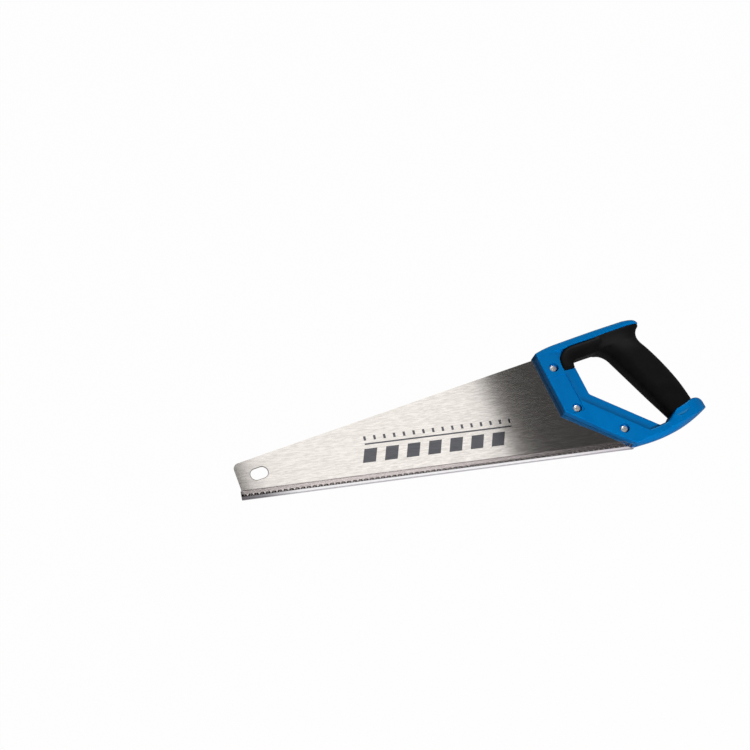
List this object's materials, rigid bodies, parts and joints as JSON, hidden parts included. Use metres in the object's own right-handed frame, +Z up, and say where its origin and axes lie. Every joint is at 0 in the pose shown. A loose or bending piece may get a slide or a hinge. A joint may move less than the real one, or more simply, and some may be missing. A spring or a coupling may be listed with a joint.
{
  "type": "hand saw",
  "caption": "Hand saw with a tapered toothed steel blade, a moulded handle with marking edges and a soft closed grip, binding screws and a clear slide-off tooth guard.",
  "frame": {"origin": "under the middle of the bounding box, on the surface that the saw lies on", "axes": "+X along the tooth tips from the toe to the handle, +Y from the teeth towards the spine, +Z up, square to the blade"},
  "size_m": [0.4922, 0.1388, 0.028],
  "materials": {
    "blade_steel": "fine lengthwise brushed grain",
    "blue_plastic": "satin moulded",
    "black_rubber": "matt soft-touch",
    "screw_steel": "bright plated",
    "guard_plastic": "clear extruded"
  },
  "bodies": {
    "saw": {"blade": "blade_steel", "handle_frame": "blue_plastic", "grip_sleeve": "black_rubber", "upper_screw": "screw_steel", "middle_screw": "screw_steel", "lower_screw": "screw_steel", "upper_barrel_nut": "screw_steel", "middle_barrel_nut": "screw_steel", "lower_barrel_nut": "screw_steel"},
    "guard": {"tooth_guard": "guard_plastic"}
  },
  "joints": [
    {"name": "guard_slide", "type": "slide", "parent": "saw", "child": "guard", "axis": [-1, 0, 0], "range_m": [0, 0.41]}
  ]
}
